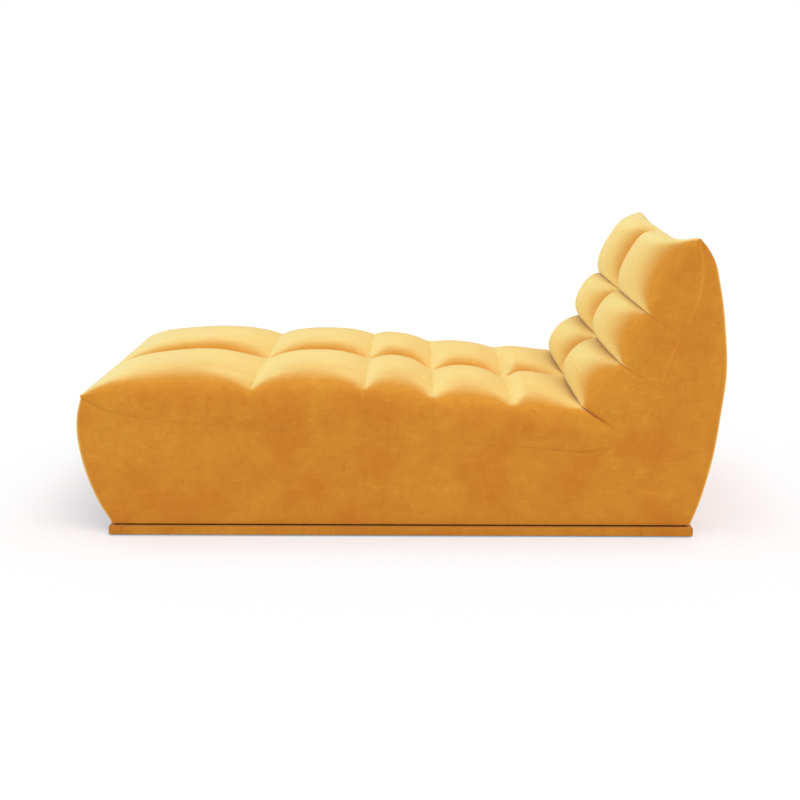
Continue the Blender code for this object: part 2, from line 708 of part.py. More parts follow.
def roll(name, start, end, crown, shoulder, bow, foot_end=False, top_end=False):
    # start and end: knot, tuft line at the sides and tuft line at the middle
    first, side_0, mid_0 = start
    last, side_1, mid_1 = end
    knots = [(k - first) / (last - first) for k in range(first, last + 1)]
    steps = [s for s in ROW_STEP_SHARES if min(abs(s - k) for k in knots) > NEAR_KNOT_SHARE]
    steps = sorted(steps + knots)
    sections = []
    bottoms = []
    margin = GAP / (side_1 - side_0).length
    for step in steps:
        u = blend(margin, 1 - margin, step)
        base = polyline(seam, blend(first, last, step))
        if step in (0, 1):
            base = polyline(seam, blend(first, last, u))
        rib_side = side_0.lerp(side_1, u) - base
        rib_mid = mid_0.lerp(mid_1, u) - base
        rise = rib_mid.normalized()
        power = FOOT_ROLL_POWER if foot_end and u < 0.5 else ROLL_POWER
        swell = dome(u, power)
        base += GAP * rise
        half = swell_half(base)
        edge_height = rib_side.length + crown * swell * shoulder
        radius = min(EDGE_RADIUS, edge_height / 2)
        pinched = PINCH * (1 - swell)
        if (foot_end and u < 0.5) or (top_end and u > 0.5):
            pinched = 0

        def side_y(h):
            share = h / edge_height
            return half + SIDE_BULGE * swell * math.sin(math.pi * share) - pinched * share ** 2

        line = []
        for share in SIDE_STEP_SHARES:
            h = share * (edge_height - radius)
            line.append((side_y(h), h))
        for share in SHOULDER_ANGLE_SHARES:
            angle = share * math.pi / 2
            h = edge_height - radius * (1 - math.sin(angle))
            line.append((side_y(h) - radius * (1 - math.cos(angle)), h))
        top_y = line[-1][0]
        for t in TOP_STEP_SHARES:
            if t < 0.5:
                full = 1 - (1 - MID_SEAM_SHARE) * (1 - 2 * t) ** MID_SEAM_POWER
            else:
                full = 1 - (1 - shoulder) * (2 * t - 1) ** 2
            low = blend(rib_mid.length, rib_side.length, t)
            h = low + crown * (swell * full + (1 - swell) * bow * dome(t, ROLL_POWER))
            line.append((t * top_y, h))
        section = [(-y, h) for y, h in line] + [(y, h) for y, h in reversed(line[:-1])]
        points = []
        for y, h in section:
            p = settled(base, y) + rise * h
            points.append((p.x, y, p.y))
        sections.append(points)
        bottom = []
        if foot_end or top_end:
            for y in [frame_half * share for share in BOTTOM_SHARES]:
                p = settled(base, y)
                bottom.append((p.x, y, p.y))
        bottoms.append(bottom)
    points = []
    for section, bottom in zip(sections, bottoms):
        points += section + list(reversed(bottom))
    ring = len(sections[0]) + len(bottoms[0])
    faces = [list(range(ring)), [len(points) - ring + i for i in range(ring)]]
    for i in range(len(sections) - 1):
        for j in range(ring):
            a = i * ring + j
            b = i * ring + (j + 1) % ring
            faces.append([a, b, b + ring, a + ring])
    piece = solid(name, points, faces, "velvet")
    piece.data.shade_smooth()
    piece.data.set_sharp_from_angle(angle=math.radians(SHARP_ANGLE))
    return piece


def rolls():
    rows = []
    for knot, along, side, middle in TUFT_SHARES:
        x = along_body(along)
        rows.append((knot, Vector((x, below_tufts(side))), Vector((x, below_tufts(middle)))))
    tip = seam[0] + Vector((0, RIM))
    lean = math.radians(EAR_LEAN)
    ear = seam[-1] + RIM * Vector((-math.cos(lean), math.sin(lean)))
    rows.insert(0, (0, tip, tip))
    rows.append((last_knot, ear, ear))
    crowns = SEAT_CROWNS + BACK_CROWNS
    for i, crown in enumerate(crowns):
        seat = i < len(SEAT_CROWNS)
        name = "seat_roll_%d" % (i + 1) if seat else "back_roll_%d" % (i + 1 - len(SEAT_CROWNS))
        ends = (i == 0, i == len(crowns) - 1)
        roll(name, rows[i], rows[i + 1], crown, SHOULDER_SHARES[i], BOW_SHARES[i], *ends)


def build():
    bpy.context.collection.objects.link(assembly)
    rails = plinth_rails()
    plinth_covers()
    glides()
    frame()
    blocks = corner_blocks()
    screws(rails, dust_cover(), blocks)
    springs()
    cores()
    back_top_foam()
    side_panels()
    end_panels()
    rolls()


build()
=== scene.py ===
import math
from collections import namedtuple

import bmesh
import bpy
import numpy as np
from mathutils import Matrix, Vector


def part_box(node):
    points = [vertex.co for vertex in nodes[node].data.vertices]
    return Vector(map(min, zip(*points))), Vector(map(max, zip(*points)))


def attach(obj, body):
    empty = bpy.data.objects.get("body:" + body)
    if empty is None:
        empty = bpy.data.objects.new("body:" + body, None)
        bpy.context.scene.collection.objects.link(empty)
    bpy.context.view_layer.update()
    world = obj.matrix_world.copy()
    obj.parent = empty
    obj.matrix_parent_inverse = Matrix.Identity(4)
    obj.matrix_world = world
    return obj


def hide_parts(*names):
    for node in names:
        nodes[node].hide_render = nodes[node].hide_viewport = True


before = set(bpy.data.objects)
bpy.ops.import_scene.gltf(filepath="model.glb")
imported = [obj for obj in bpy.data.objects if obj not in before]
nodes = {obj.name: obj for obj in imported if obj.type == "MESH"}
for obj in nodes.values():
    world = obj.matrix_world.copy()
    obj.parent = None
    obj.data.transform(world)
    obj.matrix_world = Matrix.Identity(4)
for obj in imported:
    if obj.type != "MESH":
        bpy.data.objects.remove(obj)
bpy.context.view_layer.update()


# Shader building

class Signal:
    # One output socket; arithmetic on it adds Math nodes
    def __init__(self, finish, socket):
        self.finish = finish
        self.socket = socket

    def worked(self, operation, *values):
        return self.finish.node("ShaderNodeMath", {"operation": operation}, dict(enumerate(values)))

    def __add__(self, other):
        return self.worked("ADD", self, other)

    def __radd__(self, other):
        return self.worked("ADD", other, self)

    def __sub__(self, other):
        return self.worked("SUBTRACT", self, other)

    def __rsub__(self, other):
        return self.worked("SUBTRACT", other, self)

    def __mul__(self, other):
        return self.worked("MULTIPLY", self, other)

    def __rmul__(self, other):
        return self.worked("MULTIPLY", other, self)

    def __abs__(self):
        return self.worked("ABSOLUTE", self)


class Finish:
    # One material, or the world, and the nodes that make it
    def __init__(self, made):
        self.made = made
        self.made.use_nodes = True
        self.tree = self.made.node_tree
        self.tree.nodes.clear()

    def node(self, kind, settings=None, values=None, out=0):
        node = self.tree.nodes.new(kind)
        for key, value in (settings or {}).items():
            setattr(node, key, value)
        for key, value in (values or {}).items():
            socket = node.inputs[key]
            if isinstance(value, Signal):
                self.tree.links.new(value.socket, socket)
            elif socket.type == "RGBA":
                socket.default_value = (*value, 1.0)
            else:
                socket.default_value = value
        return Signal(self, node.outputs[out]) if node.outputs else None

    def place(self, stretch=None):
        # Metres of the object, stretched
        here = self.node("ShaderNodeTexCoord", out="Object")
        if stretch is None:
            return here
        return self.node("ShaderNodeVectorMath", {"operation": "MULTIPLY"}, {0: here, 1: stretch})

    def along(self, axis):
        # Metres of the object along one axis
        values = {0: self.place(), 1: axis}
        return self.node("ShaderNodeVectorMath", {"operation": "DOT_PRODUCT"}, values, "Value")

    def facing(self):
        # Object space normal as three values
        normal = self.node("ShaderNodeTexCoord", out="Normal")
        return [self.node("ShaderNodeSeparateXYZ", {}, {0: normal}, k) for k in range(3)]

    def cloud(self, size, detail=3.0, roughness=0.5, distortion=0.0, stretch=None):
        values = {"Vector": self.place(stretch), "Scale": 1 / size, "Detail": detail,
                  "Roughness": roughness, "Distortion": distortion}
        return self.node("ShaderNodeTexNoise", {}, values)

    def bands(self, axis, scale, distortion=0.0):
        values = {"Vector": self.place(), "Scale": scale, "Distortion": distortion}
        return self.node("ShaderNodeTexWave", {"bands_direction": axis}, values)

    def rise(self, signal, limits, start=0.0, end=1.0):
        # Smooth step between two limits of a value
        values = {0: signal, 1: limits[0], 2: limits[1], 3: start, 4: end}
        return self.node("ShaderNodeMapRange", {"interpolation_type": "SMOOTHSTEP"}, values)

    def fall(self, signal, limits, start=1.0):
        return self.rise(signal, limits, start, 0.0)

    def mix(self, share, first, second):
        return self.node("ShaderNodeMix", {"data_type": "RGBA"}, {0: share, 6: first, 7: second}, 2)

    def tone(self, colour, level, play, reach):
        # A colour at some level, which plays more or less in its red, green and blue
        shares = {k: level + play * share for k, share in enumerate(reach)}
        tint = self.node("ShaderNodeCombineXYZ", {}, shares)
        return self.node("ShaderNodeVectorMath", {"operation": "MULTIPLY"}, {0: colour, 1: tint})

    def bump(self, height, distance, strength):
        values = {"Height": height, "Distance": distance, "Strength": strength}
        return self.node("ShaderNodeBump", {}, values)

    def surface(self, values):
        shader = self.node("ShaderNodeBsdfPrincipled", {}, values)
        self.node("ShaderNodeOutputMaterial", {}, {"Surface": shader})
        return self.made


# Velvet

velvet = {
    # Colours, from the upright sides to where the velvet turns away from them: the two ochres are
    # the velvet's own, amber and the paler ones are painted sheen and shade, the last is painted
    # light
    "deepOchre": (0.615, 0.222, 0.018),
    "ochre": (0.635, 0.25, 0.022),
    "amber": (0.74, 0.305, 0.028),
    "pale": (0.98, 0.71, 0.23),
    "palest": (0.99, 0.77, 0.265),
    "paintedFootLight": (1.0, 0.84, 0.33),
    "plinthShade": 0.9,
    # Clouds: size, detail, roughness, distortion and stretch
    "mottles": (0.17, 4.0, 0.55, 0.3),
    "crushes": (0.035, 5.0, 0.65, 0.4),
    "alongMarks": (0.011, 2.0, 0.6, 0.3, (0.25, 0.5, 1.2)),
    "downMarks": (0.011, 2.0, 0.6, 0.3, (1.3, 0.5, 0.3)),
    "fibres": (0.0016, 2.0, 0.6),
    # How far they move the tone, and how much of that reaches red, green and blue
    "mottle": 0.18,
    "crush": 0.28,
    "mark": 0.085,
    "reach": (0.8, 1.45, 2.3),
    # How far a place faces outward, from its sideways and its upward normal; the painted sheen
    # follows it
    "outward": 0.974,
    "upward": 0.225,
    # Limits between which each change takes place
    "ochreLimits": (0.38, 0.62),
    "alongLimits": (0.56, 0.72),
    "downLimits": (0.58, 0.74),
    "calmLimits": (0.3, 0.7),
    "middleLimits": (-0.01, 0.02),
    "underLimits": (-0.6, -0.25),
    "amberLimits": (0.55, 1.0),
    "paleLimits": (0.18, 0.62),
    "palestLimits": (0.0, 0.22),
    "backFlank": (0.08, 0.5),
    "footFlank": (-0.45, -0.05),
    "topLimits": (0.45, 0.8),
    "paintedFootLightLimits": (0.3, 0.55),
    "cornerTurn": (0.06, 0.25),
    "cornerLimits": (0.55, 0.97),
    "uprightLimits": (0.35, 0.65),
    "earHeights": (0.72, 0.77),
    # How strong it gets: how far the marks calm where the velvet is painted pale, then the painted
    # sheen, light and shade
    "paleCalm": 0.45,
    "innerSheenReach": 0.85,
    "paintedBackShadeShare": 0.27,
    "paintedFootLightShare": 0.6,
    "paintedCornerSheen": 0.7,
    # Surface
    "rough": 0.8,
    "roughPlay": 0.2,
    "gloss": 0.2,
    "sheen": (1.0, 0.88, 0.45),
    "sheenRoughness": 0.3,
    "fibreRelief": (0.0004, 0.4),
}


def velvetFinish(name, paling, shade=1.0):
    v = velvet
    f = Finish(bpy.data.materials.new(name))
    mottle = f.cloud(*v["mottles"])
    crush = f.cloud(*v["crushes"])
    along = f.rise(f.cloud(*v["alongMarks"]), v["alongLimits"])
    down = f.rise(f.cloud(*v["downMarks"]), v["downLimits"])
    base = f.mix(f.rise(mottle, v["ochreLimits"]), v["deepOchre"], v["ochre"])
    east, north, up = f.facing()
    outward = abs(north) * v["outward"] + up * v["upward"]
    play = (mottle - 0.5) * v["mottle"] + (crush - 0.5) * v["crush"] + (along - down) * v["mark"]
    play = play * f.rise(outward, v["calmLimits"], v["paleCalm"])
    if paling == "rolls":
        # Painted sheen: a roll pales where it turns away from the side, and sooner towards the
        # middle
        outward = outward * f.rise(f.along((0, 1, 0)) * north, v["middleLimits"], v["innerSheenReach"])
        shown = f.rise(up, v["underLimits"])
        for colour in ("amber", "pale", "palest"):
            base = f.mix(f.fall(outward, v[colour + "Limits"]) * shown, base, v[colour])
        # Painted light and shade: flanks facing the foot are painted paler as if lit from that side,
        # those facing the back painted darker as if in shade
        paintedBackShade = f.rise(east, v["backFlank"], 0.0, v["paintedBackShadeShare"])
        base = f.mix(paintedBackShade * shown, base, v["amber"])
        paintedFootLight = f.fall(east, v["footFlank"], v["paintedFootLightShare"]) * f.rise(up, v["topLimits"])
        base = f.mix(paintedFootLight * f.fall(outward, v["paintedFootLightLimits"]), base, v["paintedFootLight"])
    elif paling == "corners":
        # Elsewhere painted sheen pales only the upright rounded corners, not the ears
        corner = f.rise(abs(north), v["cornerTurn"]) * f.fall(outward, v["cornerLimits"])
        corner = corner * f.fall(abs(up), v["uprightLimits"])
        corner = corner * f.fall(f.along((0, 0, 1)), v["earHeights"])
        base = f.mix(corner * v["paintedCornerSheen"], base, v["pale"])
    return f.surface({
        "Base Color": f.tone(base, shade, play, v["reach"]),
        "Roughness": v["rough"] + (mottle - 0.5) * v["roughPlay"],
        "Specular IOR Level": v["gloss"],
        "Sheen Weight": 1.0,
        "Sheen Roughness": v["sheenRoughness"],
        "Sheen Tint": v["sheen"],
        "Normal": f.bump(f.cloud(*v["fibres"]), *v["fibreRelief"]),
    })


rollVelvet = velvetFinish("velvet_rolls", "rolls")
bodyVelvet = velvetFinish("velvet", "corners")
plinthVelvet = velvetFinish("velvet_plinth", "none", velvet["plinthShade"])


# Finishes of the pieces inside and underneath. Each has its darker and lighter colour, its
# roughness and how far that plays, and the depth and strength of its relief

plywood = {
    "grain": (0.02, 6.0, 0.6, 0.8, (0.12, 1, 1)),
    "colours": ((0.46, 0.29, 0.15), (0.66, 0.47, 0.28)),
    "flecks": (0.0025, 2.0, 0.5, 0.0, (0.2, 1, 1)),
    "fleckLimits": (0.6, 0.7),
    "fleckShare": 0.35,
    "fleckColour": (0.3, 0.17, 0.08),
    "layers": ("Y", 130.0, 0.6),
    "layerShare": 0.25,
    "layerColour": (0.36, 0.22, 0.11),
    "rough": 0.5,
    "roughPlay": 0.25,
    "relief": (0.0004, 0.5),
}
wadding = {
    "cloud": (0.06, 4.0),
    "colours": ((0.74, 0.68, 0.5), (0.86, 0.82, 0.68)),
    "cells": 420.0,
    "rough": 0.95,
    "relief": (0.0008, 0.6),
}
webbing = {
    "warp": ("Y", 160.0),
    "weft": ("Z", 190.0),
    "colours": ((0.03, 0.028, 0.024), (0.08, 0.072, 0.06)),
    "rough": 0.85,
    "relief": (0.0006, 0.8),
}
drawnSteel = {
    "cloud": (0.001, 3.0, 0.6, 0.0, (1, 0.06, 1)),
    "colours": ((0.5, 0.51, 0.53), (0.66, 0.67, 0.69)),
    "metal": 1.0,
    "rough": 0.24,
    "roughPlay": 0.2,
    "relief": (0.0001, 0.4),
}
clipPlastic = {
    "cloud": (0.0008, 3.0),
    "colours": ((0.012, 0.012, 0.014), (0.022, 0.022, 0.024)),
    "rough": 0.42,
    "roughPlay": 0.15,
    "relief": (0.0001, 0.5),
}
dustCloth = {
    "cloud": (0.004, 5.0, 0.7, 1.5),
    "colours": ((0.006, 0.006, 0.007), (0.02, 0.02, 0.022)),
    "rough": 0.92,
    "relief": (0.0004, 0.7),
}
glideFelt = {
    "cloud": (0.0012, 5.0, 0.75, 2.0),
    "colours": ((0.012, 0.011, 0.01), (0.05, 0.045, 0.04)),
    "rough": 0.96,
    "relief": (0.0006, 0.9),
}


def finished(f, look, pattern, base=None, relief=None):
    # Colour, roughness and relief that follow one pattern
    rough = look["rough"]
    if "roughPlay" in look:
        rough = rough + pattern * look["roughPlay"]
    return f.surface({
        "Base Color": base or f.mix(pattern, *look["colours"]),
        "Metallic": look.get("metal", 0.0),
        "Roughness": rough,
        "Normal": f.bump(relief or pattern, *look["relief"]),
    })


def plainFinish(name, look):
    f = Finish(bpy.data.materials.new(name))
    return finished(f, look, f.cloud(*look["cloud"]))


def plywoodFinish():
    f = Finish(bpy.data.materials.new("beech_plywood"))
    p = plywood
    grain = f.cloud(*p["grain"])
    fleck = f.rise(f.cloud(*p["flecks"]), p["fleckLimits"])
    base = f.mix(grain, *p["colours"])
    base = f.mix(fleck * p["fleckShare"], base, p["fleckColour"])
    base = f.mix(f.bands(*p["layers"]) * p["layerShare"], base, p["layerColour"])
    return finished(f, p, grain, base)


def waddingFinish():
    f = Finish(bpy.data.materials.new("wadding"))
    cells = f.node("ShaderNodeTexVoronoi", {}, {"Vector": f.place(), "Scale": wadding["cells"]})
    return finished(f, wadding, f.cloud(*wadding["cloud"]), relief=cells)


def webbingFinish():
    f = Finish(bpy.data.materials.new("elastic_webbing"))
    return finished(f, webbing, f.bands(*webbing["warp"]) * f.bands(*webbing["weft"]))


innerFinishes = (
    (plywoodFinish(), ("plinth_rail", "side_panel", "foot_rail", "head_rail", "seat_cross_rail",
                       "back_lumbar_rail", "back_top_rail", "corner_block")),
    (plainFinish("drawn_steel", drawnSteel), ("plinth_screw", "seat_spring")),
    (plainFinish("clip_plastic", clipPlastic), ("spring_clip_strip",)),
    (webbingFinish(), ("back_web",)),
    (plainFinish("dust_cloth", dustCloth), ("dust_cover",)),
    (plainFinish("glide_felt", glideFelt), ("glide",)),
    (waddingFinish(), ("seat_core", "back_core", "back_top_foam")),
)
for finish, starts in innerFinishes:
    for name, node in nodes.items():
        if name.startswith(starts):
            node.data.materials.clear()
            node.data.materials.append(finish)
print("finishes set")


# Outline of the body: X and Z in metres, from the frame's box and the record

body = {
    "seatLength": 1.3845,
    "backDepth": 0.383,
    "halfWidth": 0.461,
    "frameHalf": 0.4324,
    "height": 0.82,
    "seatHeight": 0.41,
    "rollDepth": 0.167,
    "footTaper": 0.083,
    "rearTaper": 0.088,
    "bottom": 0.0315,
    "tipDrop": 0.019,
    "sideSwell": 0.011,
    "swellEnds": 8,
    "swellRise": 2.5,
    "endSwell": 0.012,
    "endSwellPower": 4,
    "footSag": 0.003,
    "footSagRise": 4,
    "topSag": 0.0175,
    "sagLean": 0.6,
    "sagPower": 4.5,
    "frameTop": 0.61,
    "cornerWrap": 0.012,
    "rearWrap": 0.009,
    "seamDip": 0.0006,
    "footSeamDip": 0.0001,
    "backSeamDip": 0.0014,
    "footSeamRun": 0.4,
    "backSeamRun": 0.1,
    "seamWidth": 0.0025,
    "edgeSteps": 400,
}
# How far in, and how high, each edge point lies
footEdgeShares = ((1, 0), (0.59, 0.17), (0.27, 0.365), (0.075, 0.56), (0, 0.72),
                  (0.04, 0.86), (0.2, 1))
rearEdgeShares = ((0.87, 0), (0.6, 0.085), (0.28, 0.238), (0.105, 0.396), (0, 0.554),
                  (0.137, 0.72), (0.282, 0.817), (0.49, 0.913), (0.76, 0.969), (1, 1))
# Long seam: place along seat (below 0) or back, depth below the tufts or height over them
seamShares = ((-0.936, 0.317), (-0.852, 0.473), (-0.755, 0.548), (-0.655, 0.611),
              (-0.5416, 0.692), (-0.429, 0.754), (-0.295, 0.82), (-0.14, 0.904),
              (-0.067, 0.958), (0, 1), (0.165, 0.94), (0.333, 0.749), (0.44, 0.509),
              (0.531, -0.02), (0.611, -0.2415), (0.664, -0.361), (0.733, -0.5),
              (0.784, -0.634), (0.8, -0.805))
stillKnot = 4  # from here on the foot edge no longer sags
lowKnot = 10  # where the seam starts up the back

footX = -(body["seatLength"] + body["backDepth"]) / 2
creaseX = footX + body["seatLength"]
rearX = creaseX + body["backDepth"]
tipZ = body["seatHeight"] - body["tipDrop"]


def curveThrough(knots, places):
    # Catmull-Rom through rows of knots; places count knots
    knots = np.asarray(knots, float)
    places = np.asarray(places, float)
    i = np.clip(places.astype(int), 0, len(knots) - 2)
    s = (places - i)[..., None]
    padded = np.vstack([2 * knots[0] - knots[1], knots, 2 * knots[-1] - knots[-2]])
    a, b, c, d = padded[i], padded[i + 1], padded[i + 2], padded[i + 3]
    square = 2 * a - 5 * b + 4 * c - d
    cube = 3 * b - a - 3 * c + d
    return (2 * b + (c - a) * s + square * s ** 2 + cube * s ** 3) / 2


def alongBody(share):
    return creaseX + share * (body["seatLength"] if share < 0 else body["backDepth"])


def belowTufts(share):
    reach = body["rollDepth"] if share > 0 else body["height"] - body["seatHeight"]
    return body["seatHeight"] - share * reach


def edgeKnots(start, taper, shares, top):
    rise = top - body["bottom"]
    return [(start + taper * inward, body["bottom"] + rise * up) for inward, up in shares]


def fineLine(knots):
    return curveThrough(knots, np.linspace(0, len(knots) - 1, body["edgeSteps"]))


footKnots = edgeKnots(footX, body["footTaper"], footEdgeShares, tipZ)
rearKnots = edgeKnots(rearX, -body["rearTaper"], rearEdgeShares, body["height"])
seamKnots = [(alongBody(x), belowTufts(z)) for x, z in seamShares]
seamKnots = [footKnots[-1]] + seamKnots + [rearKnots[-1]]
lastKnot = len(seamKnots) - 1
fineFoot = fineLine(footKnots)
fineRear = fineLine(rearKnots)


def footEdgeX(z):
    return np.interp(z, fineFoot[:, 1], fineFoot[:, 0])


def rearEdgeX(z):
    return np.interp(z, fineRear[:, 1], fineRear[:, 0])


def seamAt(places):
    return curveThrough(seamKnots, places)


def halfAt(points):
    # Half width of the side panels at points of the side
    x, z = points[..., 0], points[..., 1]
    left, right = footEdgeX(z), rearEdgeX(z)
    share = np.clip((x - left) / np.maximum(right - left, 1e-6), 0, 1)
    along = 1 - np.abs(2 * share - 1) ** body["swellEnds"]
    rise = np.clip((z - body["bottom"]) / (seamKnots[lowKnot][1] - body["bottom"]), 0, 1)
    return body["halfWidth"] + body["sideSwell"] * along * (1 - (1 - rise) ** body["swellRise"])


def seamGroove(x, away):
    # How deep the groove along the long seam is: faint at the foot, deeper up the back
    places = (footX, footX + body["footSeamRun"], creaseX, creaseX + body["backSeamRun"])
    dips = (body["footSeamDip"], body["seamDip"], body["seamDip"], body["backSeamDip"])
    return np.interp(x, places, dips) * np.exp(-(away / body["seamWidth"]) ** 2)


def settled(points, y):
    # Hanging of a seam between two corners
    x, z = points[..., 0], points[..., 1]
    middle = 1 - np.minimum(1, np.abs(y) / body["frameHalf"]) ** body["sagPower"]
    still = seamKnots[stillKnot][0]
    nearFoot = np.clip((still - x) / (still - seamKnots[0][0]), 0, None) ** 2
    height = np.clip((z - body["bottom"]) / (tipZ - body["bottom"]), 0, 1)
    nearFoot = nearFoot * height ** body["footSagRise"]
    nearTop = np.clip((z - body["frameTop"]) / (body["height"] - body["frameTop"]), 0, 1) ** 2
    top = body["topSag"] * nearTop * middle * (1 - body["sagLean"] * y / body["frameHalf"])
    return np.stack([x - top, z - (body["footSag"] * nearFoot * middle + top)], -1)


# Mesh helpers

def addPiece(name, points, faces, finish, sharpAngle=50):
    mesh = bpy.data.meshes.new(name)
    shape = bmesh.new()
    corners = [shape.verts.new(point) for point in points]
    for face in faces:
        shape.faces.new([corners[i] for i in face])
    bmesh.ops.recalc_face_normals(shape, faces=shape.faces)
    shape.to_mesh(mesh)
    shape.free()
    mesh.shade_smooth()
    mesh.set_sharp_from_angle(angle=math.radians(sharpAngle))
    mesh.materials.append(finish)
    piece = bpy.data.objects.new(name, mesh)
    bpy.context.scene.collection.objects.link(piece)
    return piece


def gridFaces(columns, rows, start=0, flip=False):
    faces = []
    for i in range(columns - 1):
        for j in range(rows - 1):
            a = start + i * rows + j
            face = [a, a + rows, a + rows + 1, a + 1]
            faces.append(face[::-1] if flip else face)
    return faces


def closedShell(outer, inner):
    # Points and faces of a body between two grids of the same rows and columns
    columns, rows = outer.shape[:2]
    count = columns * rows
    points = np.concatenate([outer.reshape(-1, 3), inner.reshape(-1, 3)])
    faces = gridFaces(columns, rows) + gridFaces(columns, rows, count, True)
    rim = [i * rows for i in range(columns)]
    rim += [(columns - 1) * rows + j for j in range(1, rows)]
    rim += [i * rows + rows - 1 for i in range(columns - 2, -1, -1)]
    rim += list(range(rows - 2, 0, -1))
    faces += [[a, count + a, count + b, b] for a, b in zip(rim, rim[1:] + rim[:1])]
    return points.tolist(), faces


def upholster(piece, replaced):
    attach(piece, "root")
    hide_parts(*replaced)


# Tufted rolls: one skin over seat and back, cut into a piece for each roll

rolls = {
    "gap": 0.0001,
    "crest": 0.43,
    # Squareness and greatest depth of a shoulder, and how flat the fall to the mid seam starts
    "seatShoulder": (2.5, 0.108, 5),
    "backShoulder": (2.15, 0.13, 2.8),
    "shoulderShare": 0.88,
    "pinchRound": 0.014,
    "pinchReach": 0.012,
    "bowPower": 2.5,
    "endLift": 0.004,
    "endLean": 25,
    "midDip": 0.15,
    "bulge": 0.003,
    "firmEdge": (0.7, 0.25),
    "tuftHold": 0.13,
    "roundReach": 2.2,
    "leastRound": 1e-5,
    "underTuck": 0.999,
    # Columns along each roll, crowded towards its ends, and rows up a side and over the top
    "columns": 48,
    "columnCrowd": 0.6,
    "sideRows": 22,
    "topRows": 54,
    "rowCrowd": 0.042,
    "passes": 10,
    "lineSteps": 260,
    "valleySteps": (60, 20, 161),
    "crownSteps": (40, 120, 81),
}
# Each tuft row: knot of the long seam, place along, depth at the sides, depth at the middle,
# rise of the crease between its tufts, how a side is drawn in there, wide, tight and by what
# power of the height, and how far the valley is rounded
TuftRow = namedtuple("TuftRow", "knot along side middle bow wide tight power rounding")
tuftRows = [TuftRow(*row) for row in (
    (0, None, 0, 0, 0.0, 0.0, 0.0, 3, 0),
    (4, -0.6539, 0, 0, 0.013, 0.024, 0.012, 6, 0),
    (6, -0.4294, 0, 0, 0.011, 0.022, 0.012, 6, 0.003),
    (7, -0.2947, 0.138, 0.2, 0.001, 0.020, 0.012, 6, 0.006),
    (8, -0.1354, 0.263, 0.345, -0.001, 0.018, 0.012, 6, 0.008),
    (12, 0, 0.311, 0.311, -0.004, 0.018, 0.034, 2.5, 0),
    (14, 0.2605, -0.173, -0.173, 0.012, 0.018, 0.026, 5, 0),
    (16, 0.423, -0.517, -0.517, 0.02, 0.018, 0.026, 5, 0),
    (20, None, 0, 0, 0.0, 0.0, 0.0, 3, 0),
)]
# Each roll: name, crown, then the power and the fullness of its swelling next to the row
# before and to the row after, each with how much fuller its shoulder is, and how much
# higher it stands towards the row before
rollShapes = (
    ("seat_roll_1", 0.055, (4.5, 1, 0.3), (2.2, 1, 1.1), 0.72),
    ("seat_roll_2", 0.045, (2.5, 1, 0.9), (2.5, 1, 0.9), 0),
    ("seat_roll_3", 0.042, (2.5, 1, 0.9), (2.5, 1, 0.9), 0),
    ("seat_roll_4", 0.04, (2.5, 1, 0.9), (2.5, 1, 0.9), 0),
    ("seat_roll_5", 0.042, (2.5, 1, 0.9), (1.65, 1, 0), 0),
    ("back_roll_1", 0.062, (2.2, 1.5, 0), (2.2, 1.7, 0), 0),
    ("back_roll_2", 0.065, (2.2, 1.8, 0), (2.2, 1.6, 0), 0),
    ("back_roll_3", 0.073, (2.2, 1.8, 0), (3.5, 1.3, 0), 0),
)


def tuftPoints():
    # Side and middle point of each tuft row
    sides, middles = [], []
    for row in tuftRows:
        if row.along is None:
            lean = math.radians(rolls["endLean"])
            way = (0, 1) if row.knot == 0 else (-math.cos(lean), math.sin(lean))
            sides.append(np.array(seamKnots[row.knot]) + rolls["endLift"] * np.array(way))
            middles.append(sides[-1])
        else:
            sides.append(np.array((alongBody(row.along), belowTufts(row.side))))
            middles.append(np.array((alongBody(row.along), belowTufts(row.middle))))
    return sides, middles


def smoothed(lines, passes):
    # Evens out each line and keeps its ends
    for _ in range(passes):
        first = 2 * lines[:, :1] - lines[:, 1:2]
        last = 2 * lines[:, -1:] - lines[:, -2:-1]
        padded = np.concatenate([first, lines, last], 1)
        lines = (padded[:, :-2] + 2 * padded[:, 1:-1] + padded[:, 2:]) / 4
    return lines


def evenly(line, count):
    # A run of points again, at even distances
    steps = np.linalg.norm(np.diff(line, axis=0), axis=1)
    run = np.concatenate([[0], np.cumsum(steps)])
    at = np.linspace(0, run[-1], count)
    return np.stack([np.interp(at, run, line[:, k]) for k in range(line.shape[1])], -1)


def valleyLine(half, ribSide, ribMid, bow, drawn, power):
    # Section across a valley: up the side to the pinch, then over to the middle tuft
    upSteps, turnSteps, overSteps = rolls["valleySteps"]
    corner = min(rolls["pinchRound"], ribSide / 2)
    up = np.linspace(0, 1, upSteps) * (ribSide - corner)
    turn = np.linspace(0, np.pi / 2, turnSteps)[1:]
    h = np.concatenate([up, ribSide - corner * (1 - np.sin(turn))])
    inward = np.concatenate([np.zeros_like(up), corner * (1 - np.cos(turn))])
    y = half - drawn * (h / ribSide) ** power - inward
    t = np.linspace(1, 0, overSteps)[1:]
    top = ribMid + (ribSide - ribMid) * t + bow * (1 - np.abs(2 * t - 1) ** rolls["bowPower"])
    return np.stack([np.concatenate([y, t * y[-1]]), np.concatenate([h, top])], -1)


